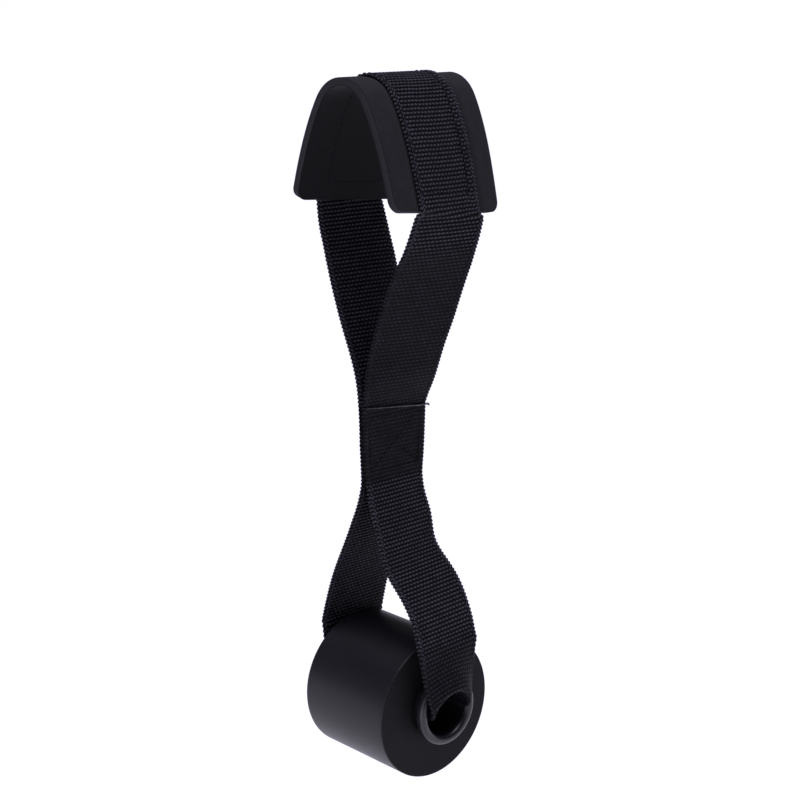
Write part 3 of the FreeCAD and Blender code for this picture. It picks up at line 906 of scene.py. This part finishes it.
lining_share = LINING / PAD_THICK
facing_share = 1 - lining_share
facing = slab("pad_facing", pad_layer(facing_share, 1.0), jersey_material("jersey_outer", JERSEY_OUTER))
foam = slab("pad_neoprene", pad_layer(lining_share, facing_share, FOAM_HOLLOW),
            cell_foam_material("neoprene_cut", NEOPRENE_CUT, cell_scale=2600.0, roughness=0.8, depth=0.0001))
lining = slab("pad_lining", pad_layer(0.0, lining_share), jersey_material("jersey_lining", JERSEY_LINING))
for piece, node, slot in ((facing, "pad_facing_jersey", "jersey"), (foam, "pad_foam", "neoprene_foam"),
                          (lining, "pad_lining_jersey", "jersey")):
    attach(piece, "saddle")
    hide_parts(node)


# Roller and core
def lathe(name, profile, materials, sag=0.0, uneven=0.0, seed=0, segments=256):
    """Closed ring turned about the core's axis. The profile holds (radius, y, material index).

    With a sag, the ring's outside is moved up by it, and the rest in between.
    """
    profile = np.array(profile, float)
    angle = np.linspace(0, FULL_TURN, segments, endpoint=False)[:, None]
    radius, y = profile[:, 0][None, :], profile[:, 1][None, :]
    shift = (radius - radius.min()) / (radius.max() - radius.min()) * sag
    if uneven:
        radius = radius + uneven * ripple(3 * np.sin(angle) + 0 * y, y / 9 + 3 * np.cos(angle), seed)
    x, z = radius * np.sin(angle), CORE_Z + shift + radius * np.cos(angle)
    points = np.stack(np.broadcast_arrays(x, ROLLER_Y + y, z), axis=-1).reshape(-1, 3)
    rings = np.arange(len(points)).reshape(segments, len(profile))
    obj = make_object(name, points, ring_faces(rings, np.roll(rings, -1, 0)), materials[0])
    for extra in materials[1:]:
        obj.data.materials.append(extra)
    obj.data.polygons.foreach_set("material_index", np.tile(profile[:, 2].astype(int), segments))
    return obj


def quarter_round(centre, radius, start, index=0, steps=5):
    """Profile points on a quarter circle. Angles in degrees: 0 is outward and 90 towards +y."""
    angles = np.radians(start + 90 * np.arange(steps + 1) / steps)
    return [(centre[0] + radius * math.cos(angle), centre[1] + radius * math.sin(angle), index)
            for angle in angles]


def roller_profile():
    """Section of the foam: moulded skin outside (0), cut foam on the ends and in the bore (1)."""
    half, edge = ROLLER_HALF, ROLLER_EDGE
    shoulder = ROLLER_RADIUS - edge
    rows = [(CORE_RADIUS, -half + edge, 1), (CORE_RADIUS + edge, -half, 1)]
    rows += [(radius, -half, 1) for radius in np.linspace(CORE_RADIUS + 2, shoulder, 12)]
    rows += quarter_round((shoulder, -half + edge), edge, -90)[1:]
    rows += [(ROLLER_RADIUS, y, 0) for y in np.linspace(-half + 2, half - 2, 40)]
    rows += quarter_round((shoulder, half - edge), edge, 0, index=1)
    rows += [(radius, half, 1) for radius in np.linspace(shoulder - 1, CORE_RADIUS + 2, 12)]
    rows += [(CORE_RADIUS + edge, half, 1), (CORE_RADIUS, half - edge, 1)]
    rows += [(CORE_RADIUS, y, 1) for y in np.linspace(half - 4, -half + 4, 6)]
    return rows


roller_cut = cell_foam_material("roller_cut", ROLLER_CUT, cell_scale=1300.0, roughness=0.75, depth=0.00006)
roller = lathe("roller_foam_body", roller_profile(), [skin_foam_material(), roller_cut],
               sag=ROLLER_Z - CORE_Z, uneven=ROLLER_UNEVEN, seed=5)
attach(roller, "roller")
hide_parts("roller_foam")


def flange_rows(side):
    """A flange's section, from its back corner over the rim and the crown into the bore."""
    back = FLANGE_BACK[side] - ROLLER_Y
    crown = (1 - CROWN_AT) * BORE_RADIUS + CROWN_AT * FLANGE_RADIUS
    rows = [row[:2] for row in quarter_round((FLANGE_RADIUS - FLANGE_RIM, FLANGE_RIM), FLANGE_RIM, -90)]
    over = [(FLANGE_RADIUS, FLANGE_SIDE * FLANGE_THICK), (FLANGE_RADIUS, FLANGE_THICK - 0.5),
            (crown + 1, FLANGE_THICK), (crown, FLANGE_THICK)]
    into = [(crown, FLANGE_THICK), (crown - 1, FLANGE_THICK),
            (BORE_RADIUS, FLANGE_THICK - 0.8), (BORE_RADIUS, BORE_LIP)]
    at = np.linspace(0, 1, 12)
    rows += [*bezier(np.array(over), at), *bezier(np.array(into), at)[1:]]
    return [(radius, back + side * out) for radius, out in rows]


def core_rows(side):
    """Section of one half of the core: a flange, and a spigot in front or a socket behind."""
    back, tip = FLANGE_BACK[side] - ROLLER_Y, SPIGOT_END - CHAMFER
    rows = [(CORE_RADIUS, back - side * NECK_ROW), (CORE_RADIUS, back - side * CHAMFER),
            (CORE_RADIUS + CHAMFER, back)]
    rows += flange_rows(side)
    if side < 0:
        rows += [(BORE_RADIUS, y) for y in (-20, -8, 0, tip, SPIGOT_END)]
        rows += [(SPIGOT_RADIUS - CHAMFER, SPIGOT_END), (SPIGOT_RADIUS, tip), (SPIGOT_RADIUS, 0)]
    else:
        rows += [(BORE_RADIUS, y) for y in (20, 8, SPIGOT_END)]
        rows += [(SPIGOT_RADIUS, SPIGOT_END), (SPIGOT_RADIUS, CHAMFER), (SPIGOT_RADIUS + CHAMFER, 0)]
    rows += [(CORE_RADIUS, 0), (CORE_RADIUS, side * CHAMFER)]
    return [(radius, y, 0) for radius, y in rows[::side]]


plastic = plastic_material()
for side, name, node in ((-1, "core_front_shell", "core_half_front"),
                         (1, "core_back_shell", "core_half_back")):
    half = lathe(name, core_rows(side), [plastic])
    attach(half, "roller")
    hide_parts(node)


# Stitches
def tube(path, radii, sides=8):
    """Points and faces of a closed tube along a path. Radii holds one number, or one per path point."""
    path = np.asarray(path, float)
    along = unit(np.gradient(path, axis=0))
    guide = np.array([0.31, 0.52, 0.79])  # no path runs this way
    first = unit(np.cross(along, guide))
    second = np.cross(along, first)
    angle = np.linspace(0, FULL_TURN, sides, endpoint=False)[None, :, None]
    radii = np.broadcast_to(np.asarray(radii, float), (len(path),))[:, None, None]
    ring = first[:, None] * np.cos(angle) + second[:, None] * np.sin(angle)
    return (path[:, None] + radii * ring).reshape(-1, 3), capped_faces(len(path), sides)


def join(parts):
    """One list of points and faces from several."""
    points, faces, base = [], [], 0
    for part_points, part_faces in parts:
        points.append(part_points)
        faces += [[base + corner for corner in face] for face in part_faces]
        base += len(part_points)
    return np.concatenate(points), faces


def stitch(start, end, up, top, deep, draw):
    """One stitch: it rises from its needle hole, lies on the face and dives into the next hole."""
    share = np.linspace(0, 1, 11)[:, None]
    arch = np.sin(math.pi * share)
    lift = -deep + (top + deep) * arch ** STITCH_FULLNESS
    side = unit(np.cross(end - start, up))
    slant, plump = draw.uniform(0.06, 0.16), draw.uniform(0.92, 1.08)
    along = (end - start) * (HOLE_GAP + (1 - 2 * HOLE_GAP) * share)
    path = start + along + up * lift + side * (slant * (2 * share - 1))
    return tube(path, THREAD_RADIUS * plump * (0.75 + 0.25 * arch[:, 0]))


def stitched(name, sides, place, seed, body, node, top, deep):
    """Stitches along sides (a, b), on the points and normals that place gives."""
    draw = np.random.default_rng(seed)
    parts = []
    for a, b in np.array(sides, float):
        shares = np.linspace(0, 1, 60)
        run = lengths(np.array([place(*(a + (b - a) * share))[0] for share in shares]))
        count = max(1, int(round(run[-1] / STITCH_LENGTH)))
        at = np.interp(np.linspace(0, run[-1], count + 1), run, shares)
        for low, high in zip(at, at[1:]):
            start, end = [place(*(a + (b - a) * share))[0] for share in (low, high)]
            up = place(*(a + (b - a) * (low + high) / 2))[1]
            parts.append(stitch(start, end, up, top, deep, draw))
    piece = make_object(name, *join(parts), thread)
    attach(piece, body)
    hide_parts(node)


def rectangle(left, right, low, high):
    """Four sides of a rectangle, as pairs of corners."""
    corners = [(left, low), (right, low), (right, high), (left, high)]
    return list(zip(corners, corners[1:] + corners[:1]))


def on_saddle(distance, side, step=0.2):
    """Points over the pad, by x on the webbing and share of the seam's length."""
    def place(x, share):
        x = x + WEB_ON_PAD
        low = foot_run(-1, x) + SEAM_ABOVE_END
        high = foot_run(1, x) - SEAM_ABOVE_END
        run = np.array([low + (high - low) * share + ahead for ahead in (-step, 0.0, step)])
        route = saddle_route(distance, run)
        line = width_grid(route, np.full(3, x))
        beside = width_grid(route[1:2], np.array([x + step]))[0] - line[1]
        return line[1], side * unit(np.cross(beside, line[2] - line[0]))
    return place


def on_waist(y, side):
    """Points on a face of the waist, by x and height."""
    def place(x, z):
        return np.array([x * drawn_in(z), y, z]), np.array([0.0, side, 0.0])
    return place


thread = thread_material()
pad_seam = rectangle(*SEAM_SIDES, 0.0, 1.0)
web_face = PAD_THICK + WEB_THICK / 2 + CORE_HALF + 0.8 * RIB_HEIGHT
stitched("pad_seam_top_stitches", pad_seam, on_saddle(web_face, 1), 11, "saddle", "pad_seam_needle_thread",
         top=0.10, deep=0.75)
stitched("pad_seam_under_stitches", pad_seam, on_saddle(0.0, -1), 12, "saddle", "pad_seam_bobbin_thread",
         top=-0.02, deep=0.5)
box = rectangle(*thread_span("waist_seam_needle_thread", 0), *thread_span("waist_seam_needle_thread", 2))
cross = [(box[0][0], box[2][0]), (box[1][0], box[3][0])]
for name, y, side, seed, node in (
        ("waist_front_stitches", FRONT_LAYER, -1, 13, "waist_seam_needle_thread"),
        ("waist_back_stitches", BACK_LAYER, 1, 14, "waist_seam_bobbin_thread")):
    place = on_waist(y + side * (CORE_HALF + 0.15 * RIB_HEIGHT), side)
    stitched(name, box + cross, place, seed, "waist", node, top=0.0, deep=0.5)


# Sealed cut
def sealed_cut():
    """Bead of melted webbing along the oblique cut, with a few loose ends at its right."""
    draw = np.random.default_rng(21)
    across = np.linspace(-1.0, 1.0, 90)
    height = cut_height(across)
    half = WEB_HALF * drawn_in(height) + CUT_OVERHANG * smoothstep(0.9, 1.0, across)
    wander, climb, swell = [ripple(across * speed, across * 0, seed)
                            for speed, seed in ((9, 22), (14, 23), (25, 24))]
    path = np.stack([across * half, FRONT_LAYER - BEAD_SUNK + 0.10 * wander, height + 0.12 * climb], axis=1)
    radii = (BEAD_RADIUS + 0.10 * swell) * (1 - across ** 60) ** 0.5
    parts = [tube(path, np.maximum(radii, 0.05), sides=12)]
    share = np.linspace(0, 1, 6)[:, None]
    for _ in range(LOOSE_ENDS):
        start = path[-1] + draw.uniform((-0.9, -0.4, -0.4), (0.0, 0.4, 0.3))
        reach = draw.uniform((0.3, -0.7, -0.3), (1.2, 0.3, 0.9))
        droop = np.array([0.0, 0.0, draw.uniform(-0.7, 0.2)])
        parts.append(tube(start + reach * share + droop * share ** 2,
                          LOOSE_RADIUS * (1.1 - share[:, 0]), sides=6))
    piece = make_object("webbing_sealed_cut", *join(parts), melted_material())
    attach(piece, "waist")


sealed_cut()


# Stage
def stage_floor(half=300000.0, height=-700.0):
    material, tree, shader, place = new_material("pale_floor")
    fill(tree, shader, {"Base Color": FLOOR_COLOUR, "Roughness": 0.9, "Specular IOR Level": 0.1})
    corners = [(-half, -half, height), (half, -half, height), (half, half, height), (-half, half, height)]
    make_object("pale_floor", corners, [[0, 1, 2, 3]], material, closed=False)


def studio_world():
    """The camera sees a white room, and the object gets only a little of its light."""
    world = bpy.data.worlds.new("studio")
    bpy.context.scene.world = world
    world.use_nodes = True
    tree = world.node_tree
    camera_ray = add(tree, "LightPath").outputs["Is Camera Ray"]
    strength = maths(tree, "MULTIPLY_ADD", camera_ray, 1.10, 0.09)
    fill(tree, tree.nodes["Background"], {"Color": WORLD_COLOUR, "Strength": strength})


def lamp(name, kind, energy, colour, towards):
    """A lamp that shines away from this direction."""
    data = bpy.data.lights.new(name, kind)
    data.energy, data.color = energy, colour
    obj = link_new(name, data)
    obj.rotation_euler = Vector(towards).to_track_quat("Z", "Y").to_euler()
    return obj, data


def studio_lamps():
    """A wide soft light overhead, and a softbox at the left."""
    sun = lamp("overhead", "SUN", 3.45, (0.98, 0.965, 1.09), (-0.08, -0.04, 1.0))[1]
    sun.angle = math.radians(55)
    box, soft = lamp("side_softbox", "AREA", 4.0, (0.95, 0.93, 1.09), (-1.3, 0.1, 0.05))
    box.location = (-1.3, 0.1, -0.1)
    soft.shape = "RECTANGLE"
    soft.size, soft.size_y = 0.9, 1.2


def camera():
    """It looks from left of the front, a little above the strap's top."""
    azimuth, elevation = math.radians(-42.4), math.radians(13.59)
    right = Vector((math.cos(azimuth), math.sin(azimuth), 0))
    back = Vector((math.sin(azimuth) * math.cos(elevation), -math.cos(azimuth) * math.cos(elevation),
                   math.sin(elevation)))
    data = bpy.data.cameras.new("camera")
    data.lens = 76.5
    data.sensor_width = 36.0
    data.clip_end = 400.0
    turned = Matrix((right, back.cross(right), back)).transposed().to_4x4()
    obj = link_new("camera", data)
    obj.matrix_world = Matrix.Translation(Vector((-490.40, -539.35, 52.41)) * MM) @ turned
    bpy.context.scene.camera = obj


stage_floor()
studio_world()
studio_lamps()
camera()
bpy.context.scene.view_settings.view_transform = "Standard"
